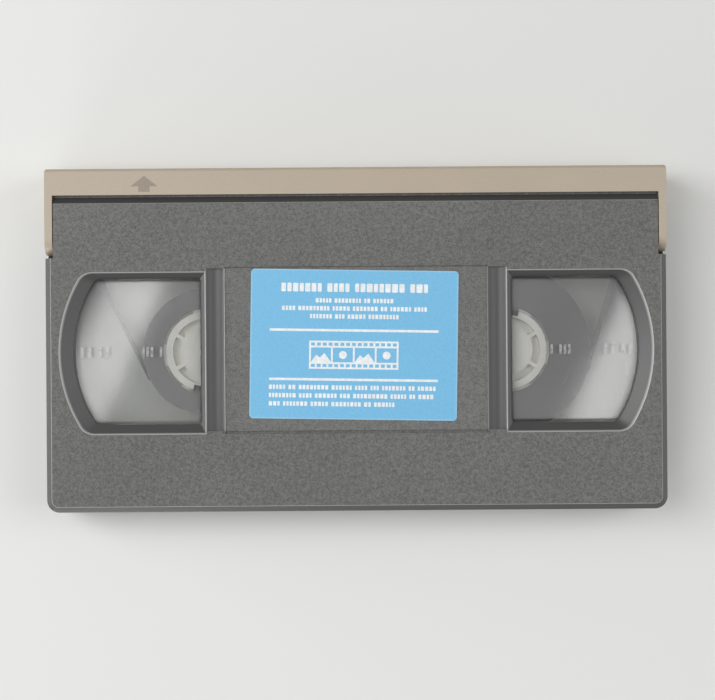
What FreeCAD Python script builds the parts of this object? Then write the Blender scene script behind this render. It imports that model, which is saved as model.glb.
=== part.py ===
import FreeCAD, Part
import math
import os

os.makedirs("parts", exist_ok=True)
V = FreeCAD.Vector

# All lengths are millimetres, all angles degrees. X runs along the long side, Y toward the tape lid,
# Z up out of the label face. The origin is the middle of the underside.

# Reels. The case is sized round them.
FLANGE_R = 44.0
FLANGE_T = 1.2
REEL_GAP = 4.0
TEETH = 60
TOOTH_DEPTH = 1.2
HUB_R = 13.0
HUB_RING_R = 12.1
HUB_CAP_R = 7.8
HUB_GAP_R = 10.0
SOCKET_R = 9.0
SPLINE_R = 7.0
COLLAR_R = 14.2
COLLAR_Z = 0.6
HUB_HOLE_R = 15.0
RUNNER_R = 17.0
TAPE_WIDTH = 12.65
TAPE_SLACK = 0.55
TAKEUP_R = 25.6
SUPPLY_R = 19.2

# Case
WALL = 2.0
SIDE_GAP = 2.0
WELL_GAP = 2.5
MOUTH_DEPTH = 11.5
RUNNER_GAP = 1.0
HEADROOM = 4.4
REAR_CORNER_R = 3.8
TOP_BEVEL = 1.8
FOOT_BEVEL = 0.8
SEAM_BEVEL = 0.25

REEL_X = FLANGE_R + REEL_GAP / 2
HALF_X = REEL_X + FLANGE_R + SIDE_GAP + WALL
HALF_Y = (WALL + WELL_GAP + 2 * FLANGE_R + MOUTH_DEPTH) / 2
REEL_Y = -HALF_Y + WALL + WELL_GAP + FLANGE_R
FLANGE_Z = WALL + RUNNER_GAP
FLANGE_TOP_Z = FLANGE_Z + FLANGE_T
UPPER_FLANGE_Z = FLANGE_TOP_Z + TAPE_WIDTH + TAPE_SLACK
CEILING_Z = UPPER_FLANGE_Z + FLANGE_T + HEADROOM
HEIGHT = CEILING_Z + WALL
PARTING_Z = HEIGHT / 2
HUB_TOP_Z = UPPER_FLANGE_Z + 1.4
HUB_BUTTON_Z = HUB_TOP_Z + 0.7
SOCKET_TOP_Z = UPPER_FLANGE_Z - 4.4

# Tape lid
LID_REACH = 21.0
LID_ARM_R = 5.0
LID_ARM_T = 2.3
LID_PANEL_T = 1.8
LID_BAND = 8.0
LID_BAND_T = 1.6
LID_FOOT_Z = 0.5
LID_EDGE_R = 1.0
LID_SIDE_GAP = 0.25
LID_REAR_GAP = 1.0
LID_UNDER_GAP = 0.4
LID_RECESS_GAP = 0.5
LID_PIN_R = 2.0
LID_PIN_FIT = 0.06
LID_FRONT_GAP = 0.7
LID_REAR_LAP = 0.6

LID_PIVOT_Y = HALF_Y - LID_REACH
LID_PIVOT_Z = HEIGHT - LID_ARM_R
LID_SLOPE_Y = HALF_Y - 5.0
NECK_X = HALF_X - LID_ARM_T - LID_SIDE_GAP
NECK_Y = LID_PIVOT_Y - LID_ARM_R - LID_REAR_GAP
NOSE_Y = HALF_Y - LID_PANEL_T - LID_FRONT_GAP
LEDGE_Z = HEIGHT - LID_BAND_T - LID_UNDER_GAP
NECK_CEILING_Z = LEDGE_Z - WALL

# Mouth in the lower half, where the machine pulls the tape out
WELL_R = FLANGE_R + WELL_GAP
MOUTH_X = HALF_X - 18.5
MOUTH_BACK_Y = HALF_Y - 24.0
RIB_T = 1.0
RIB_END_Y = HALF_Y - 8.6
LAMP_Y = HALF_Y - 12.5
LAMP_R = 4.0
LAMP_WALL = 1.0
LIGHT_Z0 = 4.4
LIGHT_Z1 = 6.0
NECK_STEP_Y = LAMP_Y

# Windows
WINDOW_R = FLANGE_R
WINDOW_X = REEL_X - 0.5
BAND_Y0 = REEL_Y - 24.1
BAND_Y1 = REEL_Y + 25.1
WINDOW_Y0 = BAND_Y0 - 0.9
WINDOW_Y1 = BAND_Y1 - 0.9
WINDOW_CORNER_R = 5.0
# how far the opening is drawn in from the rim's outer edge: at its top, foot, arc and inner side
RIM_INSETS = (2.0, 3.0, 4.4, 1.6)
RIM_CORNER_R = 2.8
RIM_Z = HEIGHT - 1.0
PLUG_Z = HEIGHT - 0.5
PLUG_BEVEL = 0.6
PLUG_GAP = 0.15
WINDOW_LIP = 1.6
WINDOW_LIP_T = 1.0

# Pad and channels between the windows
CHANNEL_W = 5.8
CHANNEL_DEPTH = 1.2
PAD_X = WINDOW_X - CHANNEL_W
PAD_DROP = 0.2
GROOVE_W = 0.9
GROOVE_DEPTH = 0.7
LABEL_X = 2 * PAD_X - 16.7
LABEL_Y = BAND_Y1 - BAND_Y0 - 4.0
LABEL_T = 0.1
LABEL_CENTRE = (-0.7, REEL_Y + 1.75)
LABEL_TURN = -1.15

# Tape run and its guides
TAPE_T = 0.1
TAPE_GAP = 0.3
TAPE_Z0 = FLANGE_TOP_Z + 0.2
PIN_R = 1.6
PIN_X = HALF_X - 14.0
PIN_Y = HALF_Y - 8.4
ROLLER_R = 3.2
ROLLER_AT = (-HALF_X + 9.5, HALF_Y - 13.5)
ROLLER_PIN_R = 1.0
ROLLER_FIT = 0.06
POST_R = 2.6
POST_AT = (HALF_X - 11.4, HALF_Y - 13.0)
PIN_SEAT = 1.0
PIN_FIT = 0.05

# Screws
SCREW_REAR = (HALF_X - 9.5, -HALF_Y + 8.0)
SCREW_FRONT = (HALF_X - 6.0, LID_PIVOT_Y - 7.0)
SCREW_MID = (0.0, HALF_Y - 30.0)
SCREW_BOSS_R = 3.3
SCREW_R = 1.3
SCREW_FIT = 0.05
SCREW_HEAD_R = 2.6
SCREW_SEAT_Z = 3.6
SCREW_HEAD_T = 1.4
SCREW_END_Z = CEILING_Z - 2.5

# Lid latch
LATCH_AT = (HALF_X - 7.0, LID_PIVOT_Y - 1.0)
LATCH_POST_R = 1.2
LATCH_HUB_R = 2.1
LATCH_SWING = 6.5
LATCH_NOSE_Z0 = 5.6
LATCH_NOSE_Z1 = 7.6
LATCH_NOSE_Y0 = HALF_Y - 9.0
LATCH_NOSE_Y1 = HALF_Y - 6.8
LATCH_REACH = 1.15
LATCH_GAP = 0.3

# Brakes
BRAKE_BEARING = 238.63
BRAKE_OUT = 4.02
BRAKE_POST_R = 1.2
BRAKE_FIT = 0.06
BRAKE_MEET = 220.0
BRAKE_SWING = math.degrees(0.14)
BRAKE_FORK_X = 6.7
BRAKE_BITE = 0.6
BRAKE_TOP_Z = FLANGE_TOP_Z + 0.4
RELEASE_Y = REEL_Y - 18.0
RELEASE_R = 3.0

# Reel leaf spring
LEAF_T = 0.3
LEAF_W = 8.0
LEAF_END_X = REEL_X + 1.2


def reel_point(r, degrees):
    """A point beside the right reel, r from its axis."""
    turn = math.radians(degrees)
    return (REEL_X + r * math.cos(turn), REEL_Y + r * math.sin(turn))


SCREW_AT = [SCREW_REAR, SCREW_FRONT, SCREW_MID]
SCREW_AT += [(-SCREW_REAR[0], SCREW_REAR[1]), (-SCREW_FRONT[0], SCREW_FRONT[1])]
BRAKE_AT = reel_point(FLANGE_R + BRAKE_OUT, BRAKE_BEARING)
BRAKE_ARM = BRAKE_AT[0] - BRAKE_FORK_X
BRAKE_TIP_R = FLANGE_R - BRAKE_BITE


def box(x0, x1, y0, y1, z0, z1):
    return Part.makeBox(x1 - x0, y1 - y0, z1 - z0, V(x0, y0, z0))


def rod(x, y, r, z0, z1):
    return Part.makeCylinder(r, z1 - z0, V(x, y, z0))


def axle(x0, x1, y, z, r):
    return Part.makeCylinder(r, x1 - x0, V(x0, y, z), V(1, 0, 0))


def plate(points, z0, z1):
    wire = Part.makePolygon([V(x, y, z0) for x, y in points + points[:1]])
    return Part.Face(wire).extrude(V(0, 0, z1 - z0))


def side_plate(points, x0, x1):
    wire = Part.makePolygon([V(x0, y, z) for y, z in points + points[:1]])
    return Part.Face(wire).extrude(V(x1 - x0, 0, 0))


def mirrored(shape):
    return shape.mirror(V(0, 0, 0), V(1, 0, 0))


def pair(shape):
    return [shape, mirrored(shape)]


def join(shapes):
    return shapes[0].multiFuse(shapes[1:]).removeSplitter()


def turned(shape, at, degrees):
    copy = shape.copy()
    copy.rotate(V(at[0], at[1], 0), V(0, 0, 1), degrees)
    return copy


def upright_edges(shape, test):
    found = []
    for edge in shape.Edges:
        a, b = edge.Vertexes[0].Point, edge.Vertexes[-1].Point
        if abs(a.x - b.x) < 1e-6 and abs(a.y - b.y) < 1e-6 and test(a.x, a.y):
            found.append(edge)
    return found


def level_edges(shape, z, test):
    found = []
    for edge in shape.Edges:
        at = edge.valueAt((edge.FirstParameter + edge.LastParameter) / 2)
        level = all(abs(v.Point.z - z) < 1e-6 for v in edge.Vertexes)
        if level and abs(at.z - z) < 1e-6 and test(at.x, at.y):
            found.append(edge)
    return found


def sweep_square(points, size, axis):
    """A wire of square section along the points, its section square to the path and lined up with axis."""
    sections = []
    for i, p in enumerate(points):
        before = points[max(i - 1, 0)]
        after = points[min(i + 1, len(points) - 1)]
        along = (after - before).normalize()
        across = along.cross(axis).normalize()
        up = across.cross(along).normalize()
        corners = []
        for a, b in ((-1, -1), (1, -1), (1, 1), (-1, 1), (-1, -1)):
            corners.append(p + across * (a * size / 2) + up * (b * size / 2))
        sections.append(Part.makePolygon(corners))
    wire = Part.makeLoft(sections, True, True)
    return wire if wire.Volume > 0 else wire.reversed()


def save(name, shape):
    shape.exportStep("parts/" + name + ".step")


# Shared outlines of the case


def case_block(z0, z1, bevel_top, bevel_foot):
    """The outside of one case half, with rounded rear corners and bevelled top and foot edges."""
    block = box(-HALF_X, HALF_X, -HALF_Y, NOSE_Y, z0, z1)
    rear = upright_edges(block, lambda x, y: y < -HALF_Y + 1)
    block = block.makeFillet(REAR_CORNER_R, rear)
    for z, bevel in ((z1, bevel_top), (z0, bevel_foot)):
        around = level_edges(block, z, lambda x, y: y < NOSE_Y - 1)
        block = block.makeChamfer(bevel, around)
    return block


def case_hollow(z0, z1, z1_neck):
    """The room inside the walls: the wide rear part and the narrower neck under the lid."""
    rear = box(-HALF_X + WALL, HALF_X - WALL, -HALF_Y + WALL, NECK_Y - 1.0, z0, z1)
    neck_x = NECK_X - WALL
    middle = box(-neck_x, neck_x, NECK_Y - 2.0, NECK_STEP_Y, z0, z1)
    front = box(-neck_x, neck_x, NECK_STEP_Y - 1.0, NOSE_Y - WALL, z0, z1_neck)
    return join([rear, middle, front])


def mouth(grow, y1, z0, z1):
    """The mouth's plan, bounded behind by the two reel wells and between them by a straight wall."""
    block = box(-MOUTH_X - grow, MOUTH_X + grow, MOUTH_BACK_Y - grow, y1, z0, z1)
    for x in (-REEL_X, REEL_X):
        block = block.cut(rod(x, REEL_Y, WELL_R - grow, z0 - 1, z1 + 1))
    return block


def mouth_walls(z0, z1):
    return mouth(RIB_T, RIB_END_Y, z0, z1).cut(mouth(0.0, RIB_END_Y + 9, z0 - 1, z1 + 1))


def arm_tangent(gap):
    """The sloping lower edge of a lid arm: its foot, and where it meets the round end, moved out by gap."""
    dy = LID_SLOPE_Y - LID_PIVOT_Y
    dz = LID_FOOT_Z - LID_PIVOT_Z
    reach = math.hypot(dy, dz)
    turn = math.atan2(dz, dy) - math.acos(LID_ARM_R / reach)
    out = (math.cos(turn), math.sin(turn))
    meet_y = LID_PIVOT_Y + LID_ARM_R * out[0]
    meet_z = LID_PIVOT_Z + LID_ARM_R * out[1]
    foot = (LID_SLOPE_Y + gap * out[0], LID_FOOT_Z + gap * out[1])
    return foot, (meet_y + gap * out[0], meet_z + gap * out[1])


def arm_recess():
    """What the lid arms take away from the sides of both case halves."""
    foot, meet = arm_tangent(LID_RECESS_GAP)
    slope = (meet[1] - foot[1]) / (foot[0] - meet[0])
    low = (foot[0] + (foot[1] + 1.0) / slope, -1.0)
    back = (NECK_Y, foot[1] + (foot[0] - NECK_Y) * slope)
    front = HALF_Y + 5
    top = HEIGHT + 1
    points = [low, (front, -1.0), (front, top), (NECK_Y, top), back]
    return pair(side_plate(points, NECK_X, HALF_X + 1))


def light_path():
    """The straight run of the lamp's light out to the sensors beside the case."""
    return box(-HALF_X - 1, HALF_X + 1, LAMP_Y - 0.9, LAMP_Y + 0.9, LIGHT_Z0, LIGHT_Z1)


def spine_recess():
    x = HALF_X - 20.35
    return box(-x, x, -HALF_Y - 1, -HALF_Y + 0.3, 3.0, HEIGHT - 3.0)


def pin_slot(z0, z1, gap):
    """The slot a lid pin drops into, open toward the parting line."""
    r = LID_PIN_R + gap
    x0, x1 = NECK_X - WALL - 0.5, NECK_X + 0.5
    slot = box(x0, x1, LID_PIVOT_Y - r, LID_PIVOT_Y + r, z0, z1)
    return slot.fuse(axle(x0, x1, LID_PIVOT_Y, LID_PIVOT_Z, r))


# Case halves


def corner_arc(y_line, side, r, corner):
    """A rounded corner between a level line and the window's arc: its two ends and its middle."""
    drop = y_line - side * corner - REEL_Y
    x = REEL_X + math.sqrt((r - corner) ** 2 - drop * drop)
    y = y_line - side * corner
    away = math.atan2(drop, x - REEL_X)
    mid = (away + side * math.pi / 2) / 2
    at_line = (x, y_line)
    at_arc = (x + corner * math.cos(away), y + corner * math.sin(away))
    return at_line, (x + corner * math.cos(mid), y + corner * math.sin(mid)), at_arc


def window_outline(insets, corner, z):
    """A closed wire at height z: the right window's shape drawn in by the given insets."""
    top, foot, arc, inner = insets
    x, y0, y1 = WINDOW_X + inner, WINDOW_Y0 + foot, WINDOW_Y1 - top
    r = WINDOW_R - arc
    high = [V(px, py, z) for px, py in corner_arc(y1, 1, r, corner)]
    low = [V(px, py, z) for px, py in corner_arc(y0, -1, r, corner)]
    edges = [
        Part.makeLine(V(x, y1, z), high[0]),
        Part.Arc(high[0], high[1], high[2]).toShape(),
        Part.Arc(high[2], V(REEL_X + r, REEL_Y, z), low[2]).toShape(),
        Part.Arc(low[2], low[1], low[0]).toShape(),
        Part.makeLine(low[0], V(x, y0, z)),
        Part.makeLine(V(x, y0, z), V(x, y1, z)),
    ]
    return Part.Wire(edges)


def drawn(insets, by):
    return tuple(inset + by for inset in insets)


def window_rim():
    """The sloping frame cut into the upper half around a window."""
    low = window_outline(RIM_INSETS, RIM_CORNER_R, RIM_Z)
    high = window_outline((0.0, 0.0, 0.0, 0.0), WINDOW_CORNER_R, HEIGHT + 0.001)
    slopes = [Part.makeRuledSurface(a, b) for a, b in zip(low.Edges, high.Edges)]
    slope = Part.makeSolid(Part.makeShell(slopes + [Part.Face(low), Part.Face(high)]))
    if slope.Volume < 0:
        slope = slope.reversed()
    through = window_outline(RIM_INSETS, RIM_CORNER_R, CEILING_Z - 1)
    return [slope, Part.Face(through).extrude(V(0, 0, 3.0))]


def channel():
    """One concave channel between pad and window."""
    half = (WINDOW_X - PAD_X) / 2
    r = (half * half + CHANNEL_DEPTH**2) / (2 * CHANNEL_DEPTH)
    centre = V((WINDOW_X + PAD_X) / 2, BAND_Y0, HEIGHT - CHANNEL_DEPTH + r)
    return Part.makeCylinder(r, BAND_Y1 - BAND_Y0, centre, V(0, 1, 0))


def pad_cuts():
    pad = box(-PAD_X, PAD_X, BAND_Y0, BAND_Y1, HEIGHT - PAD_DROP, HEIGHT + 1)
    groove_z = HEIGHT - GROOVE_DEPTH
    groove = box(-PAD_X, PAD_X, BAND_Y0 - GROOVE_W, BAND_Y0, groove_z, HEIGHT + 1)
    head = box(-PAD_X, PAD_X, BAND_Y1, BAND_Y1 + 0.4, groove_z + 0.2, HEIGHT + 1)
    return [pad, groove, head] + pair(channel())


def upper_shell():
    shell = case_block(PARTING_Z, HEIGHT, TOP_BEVEL, SEAM_BEVEL)
    shell = shell.cut(case_hollow(PARTING_Z - 1, CEILING_Z, NECK_CEILING_Z))
    adds = [mouth_walls(PARTING_Z, CEILING_Z - 0.001)]
    for x, y in SCREW_AT:
        adds.append(rod(x, y, SCREW_BOSS_R, PARTING_Z, CEILING_Z))
    adds.append(rod(0, LAMP_Y, LAMP_R + LAMP_WALL, PARTING_Z, NECK_CEILING_Z + 1))
    shell = join([shell] + adds)
    # behind the lid's band the top slopes down to the ledge that the band lies over
    foot_y = HALF_Y - LID_BAND - LID_REAR_LAP
    bevel_y = foot_y - (HEIGHT - LEDGE_Z)
    ledge = [(bevel_y, HEIGHT), (foot_y, LEDGE_Z), (HALF_Y + 5, LEDGE_Z)]
    ledge += [(HALF_Y + 5, HEIGHT + 1), (bevel_y, HEIGHT + 1)]
    cuts = [side_plate(ledge, -HALF_X - 1, HALF_X + 1), spine_recess()]
    cuts += arm_recess()
    # open front below the ceiling, where the tape runs across the mouth
    cuts.append(
        box(-MOUTH_X, MOUTH_X, NOSE_Y - WALL - 1, NOSE_Y + 1, 0, NECK_CEILING_Z)
    )
    cuts += pair(pin_slot(PARTING_Z - 1, LID_PIVOT_Z, LID_PIN_FIT))
    for x, y in SCREW_AT:
        cuts.append(rod(x, y, SCREW_R + SCREW_FIT, PARTING_Z - 1, SCREW_END_Z + 0.5))
    for cut in window_rim():
        cuts += pair(cut)
    cuts += pad_cuts()
    for cut in cuts:
        shell = shell.cut(cut)
    return shell


def tab_pocket():
    """The emptied record-tab pocket in the spine, and the block it is sunk into."""
    x, y = -HALF_X + 7.0, -HALF_Y
    block = box(x - 1.5, x + 9.5, y + WALL - 0.5, y + 4.5, WALL - 0.5, 9.5)
    pocket = box(x, x + 8.0, y - 1, y + 3.3, 3.4, 8.2)
    return block, pocket


def lower_shell():
    shell = case_block(0.0, PARTING_Z, SEAM_BEVEL, FOOT_BEVEL)
    shell = shell.cut(case_hollow(WALL, PARTING_Z + 1, PARTING_Z + 1))
    tab_block, tab_cut = tab_pocket()
    adds = [mouth_walls(0.0, PARTING_Z), tab_block]
    for x, y in SCREW_AT:
        adds.append(rod(x, y, SCREW_BOSS_R, WALL - 0.5, PARTING_Z))
    for x in (-BRAKE_AT[0], BRAKE_AT[0]):
        adds.append(rod(x, BRAKE_AT[1], BRAKE_POST_R, WALL - 0.5, 8.0))
    adds.append(rod(LATCH_AT[0], LATCH_AT[1], LATCH_POST_R, WALL - 0.5, 9.5))
    adds.append(rod(ROLLER_AT[0], ROLLER_AT[1], 2.2, WALL - 0.5, FLANGE_TOP_Z))
    adds.append(rod(*POST_AT, POST_R, WALL - 0.5, UPPER_FLANGE_Z + 0.6))
    # guides beside the brake slider
    adds += pair(box(4.0, 5.2, -HALF_Y + WALL - 0.5, BRAKE_AT[1] - 3.7, WALL - 0.5, 6.0))
    shell = join([shell] + adds)
    cuts = [mouth(0.0, HALF_Y + 5, -1, PARTING_Z + 1), spine_recess(), tab_cut]
    for x in (-REEL_X, REEL_X):
        cuts.append(rod(x, REEL_Y, HUB_HOLE_R, -1, WALL + 1))
    for x, y in SCREW_AT:
        cuts.append(rod(x, y, SCREW_R + 0.3, -1, PARTING_Z + 1))
        cuts.append(rod(x, y, SCREW_HEAD_R + 0.4, -1, SCREW_SEAT_Z))
    for x, y in ((-PIN_X, PIN_Y), (PIN_X, PIN_Y)):
        cuts.append(rod(x, y, PIN_R + PIN_FIT, WALL - PIN_SEAT, WALL + 1))
    cuts.append(rod(*ROLLER_AT, ROLLER_PIN_R + PIN_FIT, WALL - PIN_SEAT, FLANGE_TOP_Z + 1))
    cuts.append(rod(0, RELEASE_Y, RELEASE_R, -1, WALL + 1))
    cuts += latch_holes()
    for cut in cuts:
        shell = shell.cut(cut)
    for side in pair(pin_tongue()):
        shell = shell.fuse(side)
    shell = join([shell, lamp_tongue()])
    for cut in [light_path()] + arm_recess():
        shell = shell.cut(cut)
    return shell


def latch_holes():
    """Openings in the right side wall for the latch's nose and for the button the machine presses."""
    inner = NECK_X - WALL - 0.5
    nose = box(
        inner,
        HALF_X + 1,
        LATCH_NOSE_Y0 - 0.6,
        LATCH_NOSE_Y1 + 1.1,
        LATCH_NOSE_Z0 - 0.3,
        LATCH_NOSE_Z1 + 0.3,
    )
    button = box(inner, HALF_X + 1, LATCH_AT[1] + 3.5, LATCH_AT[1] + 7.2, WALL, WALL + 2.7)
    return [nose, button]


def pin_tongue():
    """The tongue of the lower half that closes a pin slot from below."""
    x0, x1 = NECK_X - WALL, NECK_X
    half = LID_PIN_R + LID_PIN_FIT - 0.1
    tongue = box(
        x0, x1, LID_PIVOT_Y - half, LID_PIVOT_Y + half, PARTING_Z - 1, LID_PIVOT_Z - 1.2
    )
    pin = axle(x0 - 1, x1 + 1, LID_PIVOT_Y, LID_PIVOT_Z, LID_PIN_R + LID_PIN_FIT)
    return tongue.cut(pin)


def lamp_tongue():
    """The tongue in the middle of the mouth with the bore for the machine's lamp."""
    outer = LAMP_R + LAMP_WALL
    neck = box(-2.5, 2.5, MOUTH_BACK_Y - RIB_T, LAMP_Y, 0.0, PARTING_Z)
    tongue = join([neck, rod(0, LAMP_Y, outer, 0.0, PARTING_Z)])
    return tongue.cut(rod(0, LAMP_Y, LAMP_R, -1, PARTING_Z - 1))


# Windows and label


def window():
    """The right window: a bevelled plug standing in the rim, on a wider lip under the ceiling."""
    foot = window_outline(drawn(RIM_INSETS, PLUG_GAP), RIM_CORNER_R, CEILING_Z)
    plug = Part.Face(foot).extrude(V(0, 0, PLUG_Z - CEILING_Z))
    plug = plug.makeChamfer(PLUG_BEVEL, level_edges(plug, PLUG_Z, lambda x, y: True))
    lip_z = CEILING_Z - WINDOW_LIP_T
    wide = window_outline(drawn(RIM_INSETS, -WINDOW_LIP), WINDOW_CORNER_R, lip_z)
    lip = Part.Face(wide).extrude(V(0, 0, WINDOW_LIP_T))
    return join([plug, lip])


def face_label():
    x, y = LABEL_CENTRE
    z = HEIGHT - PAD_DROP
    label = box(
        x - LABEL_X / 2, x + LABEL_X / 2, y - LABEL_Y / 2, y + LABEL_Y / 2, z, z + LABEL_T
    )
    label = label.makeFillet(1.2, upright_edges(label, lambda x, y: True))
    return turned(label, LABEL_CENTRE, LABEL_TURN)


# Tape lid and its spring


def lid_arm():
    """The right arm with its pivot pin, and the pocket that the latch's nose enters."""
    foot, meet = arm_tangent(0.0)
    x0, x1 = HALF_X - LID_ARM_T, HALF_X
    points = [foot, meet, (LID_PIVOT_Y, LID_PIVOT_Z), (LID_PIVOT_Y, HEIGHT)]
    points += [(HALF_Y, HEIGHT), (HALF_Y, LID_FOOT_Z)]
    blade = side_plate(points, x0, x1)
    end = axle(x0, x1, LID_PIVOT_Y, LID_PIVOT_Z, LID_ARM_R)
    pin = axle(NECK_X - WALL - 0.1, x0 + 0.5, LID_PIVOT_Y, LID_PIVOT_Z, LID_PIN_R)
    return join([blade, end, pin])


def front_lid():
    panel = box(-HALF_X, HALF_X, HALF_Y - LID_PANEL_T, HALF_Y, LID_FOOT_Z, HEIGHT)
    band = box(
        -HALF_X, HALF_X, HALF_Y - LID_BAND, HALF_Y, HEIGHT - LID_BAND_T, HEIGHT
    )
    lid = join([panel, band] + pair(lid_arm()))
    front = upright_edges(lid, lambda x, y: y > HALF_Y - 0.1)
    top = level_edges(lid, HEIGHT, lambda x, y: y > HALF_Y - 0.1)
    lid = lid.makeFillet(LID_EDGE_R, front + top)
    pocket = box(
        NECK_X,
        HALF_X - LID_ARM_T + LATCH_REACH,
        LATCH_NOSE_Y0 - 0.5,
        LATCH_NOSE_Y1 + 0.6,
        LATCH_NOSE_Z0 - 0.4,
        LATCH_NOSE_Z1 + 0.4,
    )
    lid = lid.cut(pocket)
    # the left pin runs on inward as the mandrel of the lid spring
    x1 = -(NECK_X - WALL - 0.1)
    return join([lid, axle(x1 - 0.1, x1 + 3.3, LID_PIVOT_Y, LID_PIVOT_Z, LID_PIN_R)])


def lid_spring():
    """Three turns round the left pin, one leg against the ceiling and one reaching back."""
    size = 0.5
    r = LID_PIN_R + 0.75
    x = -(NECK_X - WALL) + 0.4
    points = [V(x, LID_PIVOT_Y + 3.4, CEILING_Z - size / 2)]
    steps = 12
    for i in range(3 * steps + 1):
        turn = math.radians(100 + i * 360 / steps)
        y = LID_PIVOT_Y + r * math.cos(turn)
        z = LID_PIVOT_Z + r * math.sin(turn)
        points.append(V(x + i * 0.7 / steps, y, z))
    last = points[-1]
    points.append(last + V(0.0, -2.2, -0.4))
    return sweep_square(points, size, V(1, 0, 0))


# Latch


def lid_latch():
    """The latch lever, drawn locked and then swung in to the pose in which a machine holds it."""
    x, y = LATCH_AT
    outer = NECK_X - WALL - LATCH_GAP
    low, mid, high = WALL, WALL + 2.1, LATCH_NOSE_Z1
    hub = rod(x, y, LATCH_HUB_R, low, mid + 1.0)
    arm = box(outer - 1.4, outer, y, LATCH_NOSE_Y1, low, mid)
    head = box(outer - 1.4, outer, LATCH_NOSE_Y0 - 1.2, LATCH_NOSE_Y1, low, high)
    nose_x = HALF_X - LID_ARM_T + LATCH_REACH - 0.25
    nose = box(
        outer - 0.5, nose_x, LATCH_NOSE_Y0, LATCH_NOSE_Y1, LATCH_NOSE_Z0, LATCH_NOSE_Z1
    )
    button = box(outer - 0.5, HALF_X - 0.6, y + 3.8, y + 6.0, low, mid + 0.2)
    tail = box(outer - 1.4, outer, y - 2.0, y, low, mid)
    lever = join([hub, arm, head, nose, button, tail])
    lever = lever.cut(rod(x, y, LATCH_POST_R + BRAKE_FIT, low - 1, high))
    return turned(lever, LATCH_AT, LATCH_SWING)


def hairpin(at, z, leg_a, leg_b):
    """A flat spring bent round a post, with a leg to either side, all in one plane."""
    thick, height = 0.4, 0.5
    r = LATCH_POST_R + 0.4
    a = math.atan2(leg_a[1] - at[1], leg_a[0] - at[0])
    b = math.atan2(leg_b[1] - at[1], leg_b[0] - at[0])
    # it passes the post on the side where its two legs don't cross
    way = 1 if (b - a - math.pi) % (2 * math.pi) < math.pi else -1
    start = a + way * math.pi / 2
    end = start + way * ((way * (b - a) - math.pi) % (2 * math.pi))
    steps = 6
    rows = []
    for radius in (r, r + thick):
        row = []
        for i in range(steps + 1):
            turn = start + (end - start) * i / steps
            row.append((at[0] + radius * math.cos(turn), at[1] + radius * math.sin(turn)))
        rows.append(row)
    inner, outer = rows
    side_a = (inner[0][0] - outer[0][0], inner[0][1] - outer[0][1])
    side_b = (inner[-1][0] - outer[-1][0], inner[-1][1] - outer[-1][1])
    tip_a = [leg_a, (leg_a[0] - side_a[0], leg_a[1] - side_a[1])]
    tip_b = [leg_b, (leg_b[0] - side_b[0], leg_b[1] - side_b[1])]
    points = [tip_a[0]] + inner + [tip_b[0], tip_b[1]] + outer[::-1] + [tip_a[1]]
    return plate(points, z, z + height)


def latch_spring():
    x, y = LATCH_AT
    z = WALL + 2.1 + 1.0 + 0.05
    return hairpin(LATCH_AT, z, (NECK_X - WALL - 0.4, y - 1.3), (x - 1.6, y + 5.0))


# Screws


def case_screws():
    screws = []
    for x, y in SCREW_AT:
        head = rod(x, y, SCREW_HEAD_R, SCREW_SEAT_Z - SCREW_HEAD_T, SCREW_SEAT_Z)
        screws.append(join([head, rod(x, y, SCREW_R, SCREW_SEAT_Z, SCREW_END_Z)]))
    return Part.makeCompound(screws)


# Reels


def toothed_disc():
    """The lower flange of the right reel, its saw teeth placed so that a gap faces the brake tip."""
    pitch = 360.0 / TEETH
    phase = BRAKE_MEET - 0.79 * pitch
    points = []
    for i in range(TEETH):
        for part, r in ((0.0, FLANGE_R), (0.92, FLANGE_R - TOOTH_DEPTH)):
            turn = math.radians(phase + (i + part) * pitch)
            points.append((REEL_X + r * math.cos(turn), REEL_Y + r * math.sin(turn)))
    return plate(points, FLANGE_Z, FLANGE_TOP_Z)


def clamp_box(angle, gap, z0, z1):
    """The slot in a hub for its leader clamp, at the given angle round the hub."""
    half = 1.1 + gap
    block = box(
        REEL_X + HUB_GAP_R + 0.6 - gap, REEL_X + HUB_R + 0.2, REEL_Y - half, REEL_Y + half, z0, z1
    )
    return turned(block, (REEL_X, REEL_Y), angle)


def reel(clamp_angle):
    """Hub, lower flange and splined socket in one moulding, drawn for the right side."""
    x, y = REEL_X, REEL_Y
    hub = rod(x, y, HUB_R, FLANGE_Z, UPPER_FLANGE_Z)
    ring = rod(x, y, HUB_RING_R, UPPER_FLANGE_Z - 0.1, HUB_TOP_Z)
    collar = rod(x, y, COLLAR_R, COLLAR_Z, FLANGE_TOP_Z)
    runner = rod(x, y, RUNNER_R, WALL, FLANGE_Z + 0.1)
    button = rod(x, y, 1.6, HUB_TOP_Z - 0.1, HUB_BUTTON_Z)
    body = join([toothed_disc(), hub, ring, collar, runner, button])
    pocket = rod(x, y, HUB_GAP_R, HUB_TOP_Z - 3.0, HUB_TOP_Z + 1)
    pocket = pocket.cut(rod(x, y, HUB_CAP_R, HUB_TOP_Z - 4, HUB_TOP_Z + 2))
    rib = box(x - HUB_GAP_R - 1, x + HUB_GAP_R + 1, y - 0.6, y + 0.6, 0, HUB_TOP_Z + 2)
    for i in range(3):
        pocket = pocket.cut(turned(rib, (x, y), 30 + 60 * i))
    socket = rod(x, y, SOCKET_R, 0, SOCKET_TOP_Z)
    for i in range(6):
        spline = box(x + SPLINE_R, x + SOCKET_R + 1, y - 1.0, y + 1.0, -1, SOCKET_TOP_Z + 1)
        socket = socket.cut(turned(spline, (x, y), 60 * i))
    slot = clamp_box(clamp_angle, PIN_FIT, FLANGE_TOP_Z, HUB_TOP_Z + 1)
    for cut in (pocket, socket, slot):
        body = body.cut(cut)
    return body


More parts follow.
